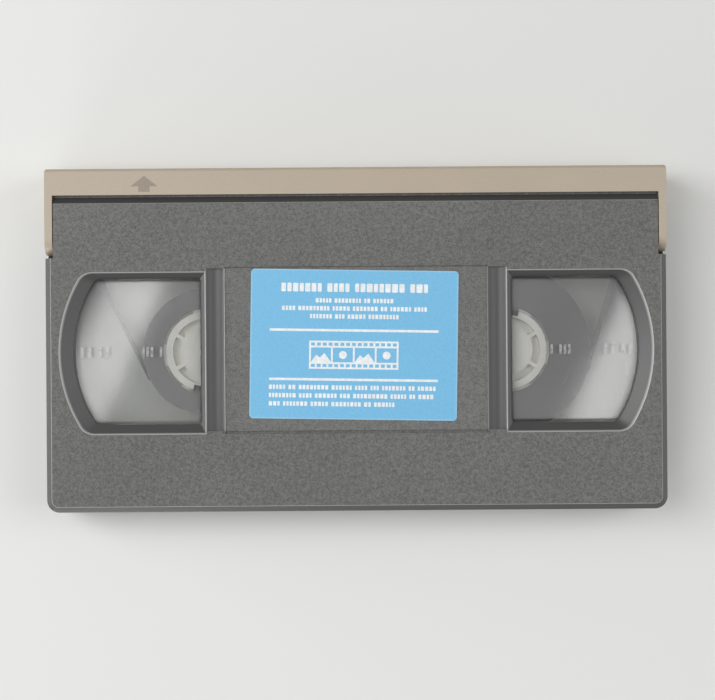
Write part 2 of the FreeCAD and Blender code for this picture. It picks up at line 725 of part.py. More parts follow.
def leader_clamp(angle):
    clamp = clamp_box(angle, 0.0, FLANGE_TOP_Z, UPPER_FLANGE_Z - 0.1)
    return clamp.common(rod(REEL_X, REEL_Y, HUB_R, FLANGE_TOP_Z, UPPER_FLANGE_Z))


def top_flange():
    x, y = REEL_X, REEL_Y
    disc = rod(x, y, FLANGE_R, UPPER_FLANGE_Z, UPPER_FLANGE_Z + FLANGE_T)
    ridge = rod(x, y, 18.6, UPPER_FLANGE_Z + 0.2, UPPER_FLANGE_Z + FLANGE_T + 0.4)
    ridge = ridge.cut(rod(x, y, 17.5, 0, HEIGHT))
    return join([disc, ridge]).cut(rod(x, y, HUB_RING_R + PIN_FIT, 0, HEIGHT))


def tape_pack(r):
    pack = rod(REEL_X, REEL_Y, r, FLANGE_TOP_Z, FLANGE_TOP_Z + TAPE_WIDTH)
    return pack.cut(rod(REEL_X, REEL_Y, HUB_R + PIN_FIT, 0, HEIGHT))


# Tape run


def tangent(a, b):
    """The two ends of the straight run on the left of the way from circle a to circle b, wrapped clockwise."""
    (ax, ay, ar), (bx, by, br) = a, b
    reach = math.hypot(bx - ax, by - ay)
    turn = math.atan2(by - ay, bx - ax) + math.acos((ar - br) / reach)
    nx, ny = math.cos(turn), math.sin(turn)
    return V(ax + ar * nx, ay + ar * ny, 0), V(bx + br * nx, by + br * ny, 0)


def tape_line(offset):
    """One face of the tape as edges in the XY plane, the given distance off each guide."""
    stops = [
        (-REEL_X, REEL_Y, SUPPLY_R + offset),
        (ROLLER_AT[0], ROLLER_AT[1], ROLLER_R + offset),
        (-PIN_X, PIN_Y, PIN_R + offset),
        (PIN_X, PIN_Y, PIN_R + offset),
        (POST_AT[0], POST_AT[1], POST_R + offset),
        (REEL_X, REEL_Y, TAKEUP_R + offset),
    ]
    edges = []
    last = None
    for i in range(len(stops) - 1):
        start, end = tangent(stops[i], stops[i + 1])
        if last is not None:
            cx, cy, r = stops[i]
            mid = (last + start) * 0.5 - V(cx, cy, 0)
            mid = V(cx, cy, 0) + mid.normalize() * r
            edges.append(Part.Arc(last, mid, start).toShape())
        edges.append(Part.makeLine(start, end))
        last = end
    return edges


def tape_span():
    inner = tape_line(TAPE_GAP)
    outer = tape_line(TAPE_GAP + TAPE_T)
    first_in, last_in = inner[0].Vertexes[0].Point, inner[-1].Vertexes[-1].Point
    first_out, last_out = outer[0].Vertexes[0].Point, outer[-1].Vertexes[-1].Point
    ends = [Part.makeLine(last_in, last_out), Part.makeLine(first_out, first_in)]
    wire = Part.Wire(Part.__sortEdges__(inner + outer + ends))
    span = Part.Face(wire).extrude(V(0, 0, TAPE_WIDTH))
    span.translate(V(0, 0, TAPE_Z0))
    return span


def guide_pin(x):
    return rod(x, PIN_Y, PIN_R, WALL - PIN_SEAT, NECK_CEILING_Z)


def roller_pin():
    return rod(*ROLLER_AT, ROLLER_PIN_R, WALL - PIN_SEAT, UPPER_FLANGE_Z + 1.6)


def guide_roller():
    z0 = FLANGE_TOP_Z
    barrel = rod(*ROLLER_AT, ROLLER_R, z0, z0 + TAPE_WIDTH + 0.5)
    return barrel.cut(rod(*ROLLER_AT, ROLLER_PIN_R + ROLLER_FIT, 0, HEIGHT))


def tension_leaf():
    """The thin leaf that steadies the tape between roller and left pin, held on the mouth's side wall."""
    x = -MOUTH_X - RIB_T
    y = RIB_END_Y - 7.0
    thick = 0.2
    path = [(x, y - 3.5), (x, y), (x - 2.4, y + 4.2), (x - 6.7, y + 6.0)]
    back = [(x - 6.78, y + 5.8), (x - 2.54, y + 4.02), (x - thick, y - 0.05), (x - thick, y - 3.5)]
    return plate(path + back, TAPE_Z0 + 2.1, TAPE_Z0 + TAPE_WIDTH - 2.1)


# Reel leaf spring and brakes


def reel_leaf_spring():
    top = CEILING_Z
    end_z = HUB_BUTTON_Z + LEAF_T
    rise = [(12.0, top), (LEAF_END_X - 4.5, end_z), (LEAF_END_X, end_z)]
    upper = [(-x, z) for x, z in reversed(rise)] + rise
    lower = [(x, z - LEAF_T) for x, z in reversed(upper)]
    y0 = REEL_Y - LEAF_W / 2
    wire = Part.makePolygon([V(x, y0, z) for x, z in upper + lower + upper[:1]])
    return Part.Face(wire).extrude(V(0, LEAF_W, 0))


def bar(a, b, half, z0, z1):
    """A flat bar with round ends between two points."""
    length = math.hypot(b[0] - a[0], b[1] - a[1])
    nx, ny = -(b[1] - a[1]) / length * half, (b[0] - a[0]) / length * half
    points = [(a[0] + nx, a[1] + ny), (b[0] + nx, b[1] + ny)]
    points += [(b[0] - nx, b[1] - ny), (a[0] - nx, a[1] - ny)]
    ends = [rod(a[0], a[1], half, z0, z1), rod(b[0], b[1], half, z0, z1)]
    return join([plate(points, z0, z1)] + ends)


def brake_lever():
    """The right lever: its tooth is drawn in the rim, then swung out to the released pose."""
    x, y = BRAKE_AT
    z0, z1 = 2.6, BRAKE_TOP_Z
    knee = reel_point(FLANGE_R + 2.8, BRAKE_MEET)
    far, near = FLANGE_R + 2.6, BRAKE_TIP_R
    tooth = [reel_point(far, BRAKE_MEET - 1.4), reel_point(near, BRAKE_MEET - 0.4)]
    tooth += [reel_point(near, BRAKE_MEET + 0.3), reel_point(far, BRAKE_MEET + 0.9)]
    outer = join([bar(BRAKE_AT, knee, 1.1, z0, z1), plate(tooth, z0, z1)])
    outer = turned(outer, BRAKE_AT, BRAKE_SWING)
    inner = bar(BRAKE_AT, (x - BRAKE_ARM, y), 1.0, z0, z1)
    hub = rod(x, y, 2.4, WALL, 5.0)
    lever = join([hub, outer, inner])
    return lever.cut(rod(x, y, BRAKE_POST_R + BRAKE_FIT, 0, HEIGHT))


def brake_release():
    """The slider, at rest held back by the machine's pin standing in the release hole."""
    y_front = RELEASE_Y - RELEASE_R
    y_arm = BRAKE_AT[1]
    bar_x = BRAKE_AT[0] - BRAKE_ARM + 1.1
    gap = 0.3
    stem = box(-3.2, 3.2, y_arm - 2.8, y_front, WALL, 4.8)
    front = box(-bar_x, bar_x, y_arm + 1.0 + gap, y_arm + 2.8, WALL, 4.8)
    rear = box(-bar_x, bar_x, y_arm - 2.8, y_arm - 1.0 - gap, WALL, 4.8)
    slider = join([stem, front, rear])
    ramp = side_plate(
        [(y_front + 1, WALL - 1), (y_front + 1, WALL + 1.5), (y_front - 1.2, WALL - 1)], -4, 4
    )
    return slider.cut(ramp)


def brake_spring():
    x, y = BRAKE_AT
    return hairpin(BRAKE_AT, 5.05, (x - 1.6, -HALF_Y + WALL + 0.15), (x + 0.6, y + 6.0))


def build():
    save("upper_shell", upper_shell())
    save("lower_shell", lower_shell())
    save("right_window", window())
    save("left_window", mirrored(window()))
    save("face_label", face_label())
    save("front_lid", front_lid())
    save("lid_spring", lid_spring())
    save("lid_latch", lid_latch())
    save("latch_spring", latch_spring())
    save("case_screws", case_screws())
    save("takeup_reel", reel(78.0))
    save("supply_reel", mirrored(reel(283.0)))
    save("takeup_top_flange", top_flange())
    save("supply_top_flange", mirrored(top_flange()))
    save("takeup_tape_pack", tape_pack(TAKEUP_R))
    save("supply_tape_pack", mirrored(tape_pack(SUPPLY_R)))
    save("takeup_leader_clamp", leader_clamp(78.0))
    save("supply_leader_clamp", mirrored(leader_clamp(283.0)))
    save("tape_span", tape_span())
    save("left_guide_pin", guide_pin(-PIN_X))
    save("right_guide_pin", guide_pin(PIN_X))
    save("guide_roller", guide_roller())
    save("roller_pin", roller_pin())
    save("tension_leaf", tension_leaf())
    save("reel_leaf_spring", reel_leaf_spring())
    save("right_brake_lever", brake_lever())
    save("left_brake_lever", mirrored(brake_lever()))
    save("brake_release", brake_release())
    save("right_brake_spring", brake_spring())
    save("left_brake_spring", mirrored(brake_spring()))


build()
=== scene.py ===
import math
import random

import bmesh
import bpy
from bpy.props import FloatProperty, FloatVectorProperty, IntProperty, PointerProperty
from mathutils import Matrix, Vector


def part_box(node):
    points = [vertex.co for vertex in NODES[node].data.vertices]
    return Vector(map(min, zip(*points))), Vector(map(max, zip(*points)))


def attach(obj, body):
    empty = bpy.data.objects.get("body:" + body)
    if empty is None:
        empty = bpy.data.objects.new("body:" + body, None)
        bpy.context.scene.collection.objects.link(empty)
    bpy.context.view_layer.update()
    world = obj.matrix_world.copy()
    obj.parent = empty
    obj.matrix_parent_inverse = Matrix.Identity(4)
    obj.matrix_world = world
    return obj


bl_info = {
    "name": "Video cassette",
    "version": (1, 0, 0),
    "blender": (4, 5, 0),
    "location": "3D View > Sidebar > Cassette",
    "description": "Finishes, label print and small moulded marks of a half-inch video cassette",
    "category": "Object",
}

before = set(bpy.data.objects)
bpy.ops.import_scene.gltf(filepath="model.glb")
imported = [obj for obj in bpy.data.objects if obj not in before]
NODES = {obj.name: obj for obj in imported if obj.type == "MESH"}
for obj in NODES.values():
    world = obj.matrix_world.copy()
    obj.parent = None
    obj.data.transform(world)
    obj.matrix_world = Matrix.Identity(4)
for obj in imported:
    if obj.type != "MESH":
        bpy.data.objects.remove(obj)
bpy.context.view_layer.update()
MM = 0.001

LABEL_LOW, LABEL_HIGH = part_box("face_label")
LABEL_CENTRE = (LABEL_LOW + LABEL_HIGH) / 2
CASE_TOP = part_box("upper_shell")[1].z
WINDOW_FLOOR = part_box("right_window")[0].z
HUB_AT = {
    "takeup": sum(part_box("takeup_reel"), Vector()) / 2,
    "supply": sum(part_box("supply_reel"), Vector()) / 2,
}

# Half widths of the pad and its channels between the windows, and where the band that holds
# them starts, ends and how deep it may be, as they are cut in the upper half
PAD_HALF = 39.7 * MM
CHANNEL_HALF = 45.5 * MM
BAND_LOW = -27.6 * MM
BAND_HIGH = 21.6 * MM
BAND_DEPTH = 3.5 * MM

# The label sits a little askew, as in the photo
LABEL_TURN = math.radians(-1.15)
LABEL_HALF = Vector((31.35, 22.6, 0)) * MM

# Tones that go with one finish each
# painted highlight along the upper edge of the case bevels
PAINTED_EDGE_HIGHLIGHT = "#C4C4C0"
PAPER_EDGE = "#D6E6F0"
DUST = "#DCDCDA"


def linear(code):
    """An sRGB hex colour as linear red, green, blue and alpha."""
    channels = []
    for i in (1, 3, 5):
        c = int(code[i : i + 2], 16) / 255
        channels.append(c / 12.92 if c <= 0.04045 else ((c + 0.055) / 1.055) ** 2.4)
    return (*channels, 1.0)


def colour(name, description, code):
    """A colour property that starts from an sRGB hex value."""
    return FloatVectorProperty(
        name=name,
        description=description,
        default=linear(code),
        size=4,
        min=0.0,
        max=1.0,
        subtype="COLOR",
    )


def length(name, description, millimetres):
    """A length property that starts from a size in millimetres."""
    return FloatProperty(
        name=name,
        description=description,
        default=millimetres * MM,
        min=0.0,
        subtype="DISTANCE",
        unit="LENGTH",
    )


class CassetteSizes(bpy.types.PropertyGroup):
    pit_width: length("Pit width", "Width of one pit of the eroded case finish", 1.2)
    # how far down the bevels the painted highlight reaches
    highlight_depth: length("Painted edge highlight", "How far down the bevels their upper edge gets a painted highlight", 0.2)
    winding_step: length("Winding step", "Width of one visible ring in the wound tape", 0.5)
    rule_height: length("Rule height", "Height of the two ruled lines on the label", 0.75)
    rule_width: length("Rule width", "Length of the two ruled lines on the label", 51.0)
    title_height: length("Title height", "Height of the marks in the top row of print", 2.6)
    small_height: length("Small print height", "Height of the marks in the small print", 1.35)
    ink: length("Ink thickness", "How far the print stands up from the paper", 0.02)
    tick_height: length("Tick height", "Height of the tick marks in the windows", 3.0)
    tick_width: length("Tick width", "Width of the tick marks in the windows", 0.8)
    arrow_width: length("Arrow width", "Width of the arrow head on the lid", 8.2)
    arrow_length: length("Arrow length", "Length of the arrow on the lid", 4.8)
    print_seed: IntProperty(
        name="Print seed",
        description="Start value for the widths of the marks in the small print",
        default=7,
    )


class CassetteColours(bpy.types.PropertyGroup):
    case: colour("Case", "Eroded surfaces of both case halves", "#5F5F5C")
    # darker than the case only as painted shade of the surroundings the polished faces mirror
    case_gloss_painted_shade: colour("Case bevels", "Polished bevels and channels of the case, darker as painted shade", "#464645")
    lid: colour("Lid", "Tape lid", "#B2A491")
    # the arrow's darker tan is painted shade of its recess
    mark: colour("Lid arrow", "Arrow moulded into the lid, darker as painted shade of its recess", "#94887A")
    label: colour("Label", "Printed blue of the face label", "#75BBE2")
    ink: colour("Print", "White print on the label", "#F2F5F6")
    reel: colour("Reels", "Hubs and lower flanges", "#F1F0E8")
    tape: colour("Tape", "Edge of the wound tape", "#2E2A28")
    leader: colour("Clamps", "Leader clamps", "#3C3C3E")
    latch: colour("Latch", "Lid latch lever", "#1E1E1F")
    lever: colour("Brakes", "Brake levers and slider", "#DAD8CF")
    steel: colour("Steel", "Pins, springs and screws", "#B9BBBD")
    floor: colour("Floor", "Plain floor under the cassette", "#E6E6E3")


# Nodes and meshes


def add(tree, kind, values=None, links=None, **settings):
    """Adds a node, with its settings, the values of its sockets and what feeds them."""
    made = tree.nodes.new(kind)
    for name, value in settings.items():
        setattr(made, name, value)
    for name, value in (values or {}).items():
        made.inputs[name].default_value = value
    for name, output in (links or {}).items():
        tree.links.new(output, made.inputs[name])
    return made


def blank(name):
    """A new material without nodes, and its tree."""
    made = bpy.data.materials.new(name)
    made.use_nodes = True
    made.node_tree.nodes.clear()
    return made, made.node_tree


def show(tree, shader):
    """Makes the shader the look of the surface."""
    add(tree, "ShaderNodeOutputMaterial", links={"Surface": shader.outputs[0]})


def smooth_curves():
    """A modifier's node group that welds facets and shades them smooth up to 30 degrees.

    Edges at or above its Level stay sharp from 3 degrees on, so that a level face keeps its
    even shade beside shallow slopes.
    """
    group = bpy.data.node_groups.new("weld_and_smooth", "GeometryNodeTree")
    sockets = group.interface
    sockets.new_socket("Geometry", in_out="INPUT", socket_type="NodeSocketGeometry")
    sockets.new_socket("Level", in_out="INPUT", socket_type="NodeSocketFloat")
    sockets.new_socket("Geometry", in_out="OUTPUT", socket_type="NodeSocketGeometry")
    start = add(group, "NodeGroupInput")
    bare = add(
        group,
        "GeometryNodeRemoveAttribute",
        {"Name": "custom_normal"},
        {"Geometry": start.outputs[0]},
    )
    welded = add(
        group,
        "GeometryNodeMergeByDistance",
        {"Distance": 0.001 * MM},
        {"Geometry": bare.outputs[0]},
    )
    faces = add(
        group,
        "GeometryNodeSetShadeSmooth",
        {"Shade Smooth": True},
        {"Geometry": welded.outputs[0]},
        domain="FACE",
    )
    place = add(group, "GeometryNodeInputPosition")
    height = add(group, "ShaderNodeSeparateXYZ", links={0: place.outputs[0]})
    high = add(
        group,
        "FunctionNodeCompare",
        links={"A": height.outputs["Z"], "B": start.outputs[1]},
        operation="GREATER_EQUAL",
    )
    limit = add(
        group,
        "GeometryNodeSwitch",
        {"False": math.radians(30), "True": math.radians(3)},
        {"Switch": high.outputs[0]},
        input_type="FLOAT",
    )
    bend = add(group, "GeometryNodeInputMeshEdgeAngle")
    sharp = add(
        group,
        "FunctionNodeCompare",
        links={"A": bend.outputs[0], "B": limit.outputs[0]},
        operation="GREATER_THAN",
    )
    edges = add(
        group,
        "GeometryNodeSetShadeSmooth",
        {"Shade Smooth": False},
        {"Geometry": faces.outputs[0], "Selection": sharp.outputs[0]},
        domain="EDGE",
    )
    add(group, "NodeGroupOutput", links={0: edges.outputs[0]})
    return group


def finish_node(name, material, level=1.0):
    """Gives a CAD node its material and smooth curves. Its edges above level stay sharp."""
    node = NODES[name]
    node.data.materials.clear()
    node.data.materials.append(material)
    group = bpy.data.node_groups.get("weld_and_smooth") or smooth_curves()
    modifier = node.modifiers.new("weld_and_smooth", "NODES")
    modifier.node_group = group
    modifier[group.interface.items_tree["Level"].identifier] = level


def rounded(x, y, width, height, radius, steps=2):
    """Corner points of a rectangle about x, y with rounded corners."""
    points = []
    for i, (sx, sy) in enumerate(((1, 1), (-1, 1), (-1, -1), (1, -1))):
        cx = x + sx * (width / 2 - radius)
        cy = y + sy * (height / 2 - radius)
        for k in range(steps + 1):
            turn = math.radians(90 * i + 90 * k / steps)
            points.append((cx + radius * math.cos(turn), cy + radius * math.sin(turn)))
    return points


def slabs(name, outlines, z0, z1, material, body, place=None):
    """One piece made of flat closed slabs, each an outline raised from z0 to z1."""
    bm = bmesh.new()
    for outline in outlines:
        low = [bm.verts.new((x, y, z0)) for x, y in outline]
        high = [bm.verts.new((x, y, z1)) for x, y in outline]
        bm.faces.new(low[::-1])
        bm.faces.new(high)
        for i in range(len(outline)):
            k = (i + 1) % len(outline)
            bm.faces.new((low[i], low[k], high[k], high[i]))
    bmesh.ops.recalc_face_normals(bm, faces=bm.faces)
    if place:
        bmesh.ops.transform(bm, matrix=place, verts=bm.verts)
    mesh = bpy.data.meshes.new(name)
    bm.to_mesh(mesh)
    bm.free()
    mesh.materials.append(material)
    piece = bpy.data.objects.new(name, mesh)
    bpy.context.scene.collection.objects.link(piece)
    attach(piece, body)
    return piece


# Materials


def place_in_band(tree, at):
    """Masks by place on the label side: 1 in the channels beside the pad, and 1 on the pad."""
    size = add(tree, "ShaderNodeVectorMath", links={0: at}, operation="ABSOLUTE")
    x = add(tree, "ShaderNodeSeparateXYZ", links={0: size.outputs[0]}).outputs["X"]
    own = add(tree, "ShaderNodeSeparateXYZ", links={0: at})
    masks = []
    for side, low, high in ((x, PAD_HALF, CHANNEL_HALF), (x, -PAD_HALF, PAD_HALF)):
        mask = add(
            tree,
            "ShaderNodeMath",
            {1: (low + high) / 2, 2: (high - low) / 2},
            {0: side},
            operation="COMPARE",
        )
        for output, middle, reach in (
            (own.outputs["Y"], (BAND_LOW + BAND_HIGH) / 2, (BAND_HIGH - BAND_LOW) / 2),
            (own.outputs["Z"], CASE_TOP, BAND_DEPTH),
        ):
            inside = add(
                tree, "ShaderNodeMath", {1: middle, 2: reach}, {0: output}, operation="COMPARE"
            )
            mask = add(
                tree,
                "ShaderNodeMath",
                links={0: mask.outputs[0], 1: inside.outputs[0]},
                operation="MULTIPLY",
            )
        masks.append(mask.outputs[0])
    return masks


def eroded_polystyrene(look, sizes):
    """High-impact polystyrene, injection moulded in a spark-eroded tool.

    The pits make the flat faces matt and mottled. Bevels, window frames and channels were
    polished in the tool, so they mirror the lights; their darker colour is painted shade,
    standing in for the dark surroundings they mirror.
    """
    mat, tree = blank("polystyrene_spark_eroded")
    coords = add(tree, "ShaderNodeTexCoord")
    at, normal = coords.outputs["Object"], coords.outputs["Normal"]
    # pits about a millimetre wide, coarser than the real ones so that they show
    pits = add(
        tree,
        "ShaderNodeTexNoise",
        {"Scale": 1.0 / sizes.pit_width, "Detail": 3.0, "Roughness": 0.62},
        {"Vector": at},
    )
    fine = add(
        tree,
        "ShaderNodeTexNoise",
        {"Scale": 3.1 / sizes.pit_width, "Detail": 2.0},
        {"Vector": at},
    )
    # slow change of tone over some 60 mm, from handling
    rubbed = add(tree, "ShaderNodeTexNoise", {"Scale": 17.0, "Detail": 3.0}, {"Vector": at})
    grain = add(
        tree,
        "ShaderNodeMath",
        {1: 0.65},
        {0: pits.outputs["Fac"], 2: fine.outputs["Fac"]},
        operation="MULTIPLY_ADD",
    )
    tone = add(
        tree,
        "ShaderNodeMapRange",
        {"From Min": 0.60, "From Max": 1.05, "To Min": 0.60, "To Max": 1.44},
        {"Value": grain.outputs[0]},
    )
    wear = add(
        tree,
        "ShaderNodeMapRange",
        {"From Min": 0.35, "From Max": 0.7, "To Min": 0.94, "To Max": 1.08},
        {"Value": rubbed.outputs["Fac"]},
    )
    both = add(
        tree,
        "ShaderNodeMath",
        links={0: tone.outputs[0], 1: wear.outputs[0]},
        operation="MULTIPLY",
    )
    channel, pad = place_in_band(tree, at)
    lighter = add(
        tree, "ShaderNodeMath", {1: 0.14, 2: 1.0}, {0: pad}, operation="MULTIPLY_ADD"
    )
    level = add(
        tree,
        "ShaderNodeMath",
        links={0: both.outputs[0], 1: lighter.outputs[0]},
        operation="MULTIPLY",
    )
    matt = add(
        tree,
        "ShaderNodeVectorMath",
        {0: tuple(look.case)[:3]},
        {"Scale": level.outputs[0]},
        operation="SCALE",
    )
    # polished where the face leans between 8 and 80 degrees from level
    upright = add(tree, "ShaderNodeVectorMath", links={0: normal}, operation="ABSOLUTE")
    lean = add(tree, "ShaderNodeSeparateXYZ", links={0: upright.outputs[0]}).outputs["Z"]
    sloped = add(
        tree,
        "ShaderNodeMath",
        {1: 0.58, 2: 0.41},
        {0: lean},
        operation="COMPARE",
    )
    polished = add(
        tree,
        "ShaderNodeMath",
        links={0: sloped.outputs[0], 1: channel},
        operation="MAXIMUM",
    )
    # painted shade: polished faces and channels take the darker gloss colour
    base = add(
        tree,
        "ShaderNodeMix",
        {"B": tuple(look.case_gloss_painted_shade)},
        {"Factor": polished.outputs[0]},
        data_type="RGBA",
    )
    tree.links.new(matt.outputs[0], base.inputs["A"])
    # painted highlight: paler along the upper edge of each bevel, standing in for the light its
    # rounded edge catches
    height = add(tree, "ShaderNodeSeparateXYZ", links={0: at}).outputs["Z"]
    top = add(
        tree,
        "ShaderNodeMapRange",
        {
            "From Min": CASE_TOP - sizes.highlight_depth,
            "From Max": CASE_TOP - 0.1 * sizes.highlight_depth,
            "To Max": 0.75,
        },
        {"Value": height},
    )
    painted_highlight = add(
        tree,
        "ShaderNodeMath",
        links={0: top.outputs[0], 1: sloped.outputs[0]},
        operation="MULTIPLY",
    )
    with_painted_highlight = add(
        tree,
        "ShaderNodeMix",
        {"B": linear(PAINTED_EDGE_HIGHLIGHT)},
        {"Factor": painted_highlight.outputs[0], "A": base.outputs["Result"]},
        data_type="RGBA",
    )
    slick = add(
        tree,
        "ShaderNodeMapRange",
        {"To Min": 0.58, "To Max": 0.25},
        {"Value": polished.outputs[0]},
    )
    # the channels are rubbed by fingers and only half as bright
    rough = add(
        tree,
        "ShaderNodeMath",
        {1: 0.17},
        {0: channel, 2: slick.outputs[0]},
        operation="MULTIPLY_ADD",
    )
    depth = add(
        tree,
        "ShaderNodeMapRange",
        {"To Min": 0.45, "To Max": 0.02},
        {"Value": polished.outputs[0]},
    )
    bump = add(
        tree,
        "ShaderNodeBump",
        {"Distance": 0.06 * MM},
        {"Height": grain.outputs[0], "Strength": depth.outputs[0]},
    )
    shader = add(
        tree,
        "ShaderNodeBsdfPrincipled",
        {"IOR": 1.59},
        {
            "Base Color": with_painted_highlight.outputs["Result"],
            "Roughness": rough.outputs[0],
            "Normal": bump.outputs[0],
        },
    )
    show(tree, shader)
    return mat


def moulded(name, shade, roughness, ior, mottle=0.06, grain=0.6, bump=0.15):
    """An opaque moulded plastic: nearly even colour, faint flow marks and a fine satin grain."""
    mat, tree = blank(name)
    at = add(tree, "ShaderNodeTexCoord").outputs["Object"]
    flow = add(tree, "ShaderNodeTexNoise", {"Scale": 60.0, "Detail": 4.0}, {"Vector": at})
    fine = add(
        tree,
        "ShaderNodeTexNoise",
        {"Scale": 1.0 / (grain * MM), "Detail": 2.0},
        {"Vector": at},
    )
    mixed = add(
        tree,
        "ShaderNodeMath",
        {1: 0.5},
        {0: flow.outputs["Fac"], 2: fine.outputs["Fac"]},
        operation="MULTIPLY_ADD",
    )
    level = add(
        tree,
        "ShaderNodeMapRange",
        {"From Min": 0.5, "From Max": 1.0, "To Min": 1 - mottle, "To Max": 1 + mottle},
        {"Value": mixed.outputs[0]},
    )
    base = add(
        tree,
        "ShaderNodeVectorMath",
        {0: tuple(shade)[:3]},
        {"Scale": level.outputs[0]},
        operation="SCALE",
    )
    rough = add(
        tree,
        "ShaderNodeMapRange",
        {
            "From Min": 0.3,
            "From Max": 0.7,
            "To Min": roughness - 0.05,
            "To Max": roughness + 0.07,
        },
        {"Value": flow.outputs["Fac"]},
    )
    height = add(
        tree,
        "ShaderNodeBump",
        {"Strength": bump, "Distance": 0.02 * MM},
        {"Height": fine.outputs["Fac"]},
    )
    shader = add(
        tree,
        "ShaderNodeBsdfPrincipled",
        {"IOR": ior},
        {
            "Base Color": base.outputs[0],
            "Roughness": rough.outputs[0],
            "Normal": height.outputs[0],
        },
    )
    show(tree, shader)
    return mat


def clear_polystyrene(name, tint, haze):
    """Clear polystyrene, moulded and polished.

    See-through, with a sharp gloss that grows as the view slants and a light haze of rubbing.
    """
    mat, tree = blank(name)
    at = add(tree, "ShaderNodeTexCoord").outputs["Object"]
    through = add(tree, "ShaderNodeBsdfTransparent", {"Color": linear(tint)})
    mirror = add(tree, "ShaderNodeBsdfGlossy", {"Roughness": 0.06, "Color": (1, 1, 1, 1)})
    edge = add(tree, "ShaderNodeFresnel", {"IOR": 1.59})
    clean = add(
        tree,
        "ShaderNodeMixShader",
        links={0: edge.outputs[0], 1: through.outputs[0], 2: mirror.outputs[0]},
    )
    # dust specks and rubbing marks under a millimetre long
    marks = add(tree, "ShaderNodeTexNoise", {"Scale": 1300.0, "Detail": 4.0}, {"Vector": at})
    amount = add(
        tree,
        "ShaderNodeMapRange",
        {"From Min": 0.35, "From Max": 0.75, "To Min": haze * 0.4, "To Max": haze * 1.7},
        {"Value": marks.outputs["Fac"]},
    )
    dust = add(tree, "ShaderNodeBsdfDiffuse", {"Color": linear(DUST)})
    shader = add(
        tree,
        "ShaderNodeMixShader",
        links={0: amount.outputs[0], 1: clean.outputs[0], 2: dust.outputs[0]},
    )
    show(tree, shader)
    return mat


def wound_tape(name, shade, centre, step):
    """The edge of magnetic tape wound in a pack: dark, with fine rings and a turning sheen."""
    mat, tree = blank(name)
    at = add(tree, "ShaderNodeTexCoord").outputs["Object"]
    out = add(
        tree,
        "ShaderNodeVectorMath",
        {1: (centre.x, centre.y, 0.0)},
        {0: at},
        operation="SUBTRACT",
    )
    flat = add(
        tree, "ShaderNodeVectorMath", {1: (1, 1, 0)}, {0: out.outputs[0]}, operation="MULTIPLY"
    )
    reach = add(tree, "ShaderNodeVectorMath", links={0: flat.outputs[0]}, operation="LENGTH")
    rings = add(
        tree,
        "ShaderNodeTexNoise",
        {"Scale": 1.0 / step, "Detail": 5.0, "Roughness": 0.75},
        {"W": reach.outputs["Value"]},
        noise_dimensions="1D",
    )
    level = add(
        tree,
        "ShaderNodeMapRange",
        {"From Min": 0.3, "From Max": 0.7, "To Min": 0.55, "To Max": 1.7},
        {"Value": rings.outputs["Fac"]},
    )
    base = add(
        tree,
        "ShaderNodeVectorMath",
        {0: tuple(shade)[:3]},
        {"Scale": level.outputs[0]},
        operation="SCALE",
    )
    rough = add(
        tree,
        "ShaderNodeMapRange",
        {"From Min": 0.3, "From Max": 0.7, "To Min": 0.26, "To Max": 0.42},
        {"Value": rings.outputs["Fac"]},
    )
    bump = add(
        tree,
        "ShaderNodeBump",
        {"Strength": 0.25, "Distance": 0.03 * MM},
        {"Height": rings.outputs["Fac"]},
    )
    around = add(tree, "ShaderNodeTangent", direction_type="RADIAL", axis="Z")
    shader = add(
        tree,
        "ShaderNodeBsdfPrincipled",
        {"IOR": 1.6, "Anisotropic": 0.75, "Specular IOR Level": 0.9},
        {
            "Base Color": base.outputs[0],
            "Roughness": rough.outputs[0],
            "Normal": bump.outputs[0],
            "Tangent": around.outputs[0],
        },
    )
    show(tree, shader)
    return mat


def coated_paper(look):
    """Self-adhesive coated paper, offset printed.

    Even blue with a soft sheen, paler along its cut edge.
    """
    mat, tree = blank("coated_paper_printed")
    at = add(tree, "ShaderNodeTexCoord").outputs["Object"]
    own = add(
        tree,
        "ShaderNodeMapping",
        {"Location": LABEL_CENTRE, "Rotation": (0, 0, LABEL_TURN)},
        {"Vector": at},
        vector_type="TEXTURE",
    )
    size = add(tree, "ShaderNodeVectorMath", links={0: own.outputs[0]}, operation="ABSOLUTE")
    short = add(
        tree, "ShaderNodeVectorMath", {1: LABEL_HALF}, {0: size.outputs[0]}, operation="SUBTRACT"
    )
    parts = add(tree, "ShaderNodeSeparateXYZ", links={0: short.outputs[0]})
    near = add(
        tree,
        "ShaderNodeMath",
        links={0: parts.outputs["X"], 1: parts.outputs["Y"]},
        operation="MAXIMUM",
    )
    rim = add(
        tree,
        "ShaderNodeMapRange",
        {"From Min": -0.5 * MM, "From Max": 0.0, "To Min": 0.0, "To Max": 0.35},
        {"Value": near.outputs[0]},
    )
    fibre = add(
        tree, "ShaderNodeTexNoise", {"Scale": 1400.0, "Detail": 3.0}, {"Vector": at}
    )
    level = add(
        tree,
        "ShaderNodeMapRange",
        {"From Min": 0.3, "From Max": 0.7, "To Min": 0.94, "To Max": 1.05},
        {"Value": fibre.outputs["Fac"]},
    )
    blue = add(
        tree,
        "ShaderNodeVectorMath",
        {0: tuple(look.label)[:3]},
        {"Scale": level.outputs[0]},
        operation="SCALE",
    )
    base = add(
        tree,
        "ShaderNodeMix",
        {"B": linear(PAPER_EDGE)},
        {"Factor": rim.outputs[0], "A": blue.outputs[0]},
        data_type="RGBA",
    )
    shader = add(
        tree,
        "ShaderNodeBsdfPrincipled",
        {"Roughness": 0.42},
        {"Base Color": base.outputs["Result"]},
    )
    show(tree, shader)
    return mat


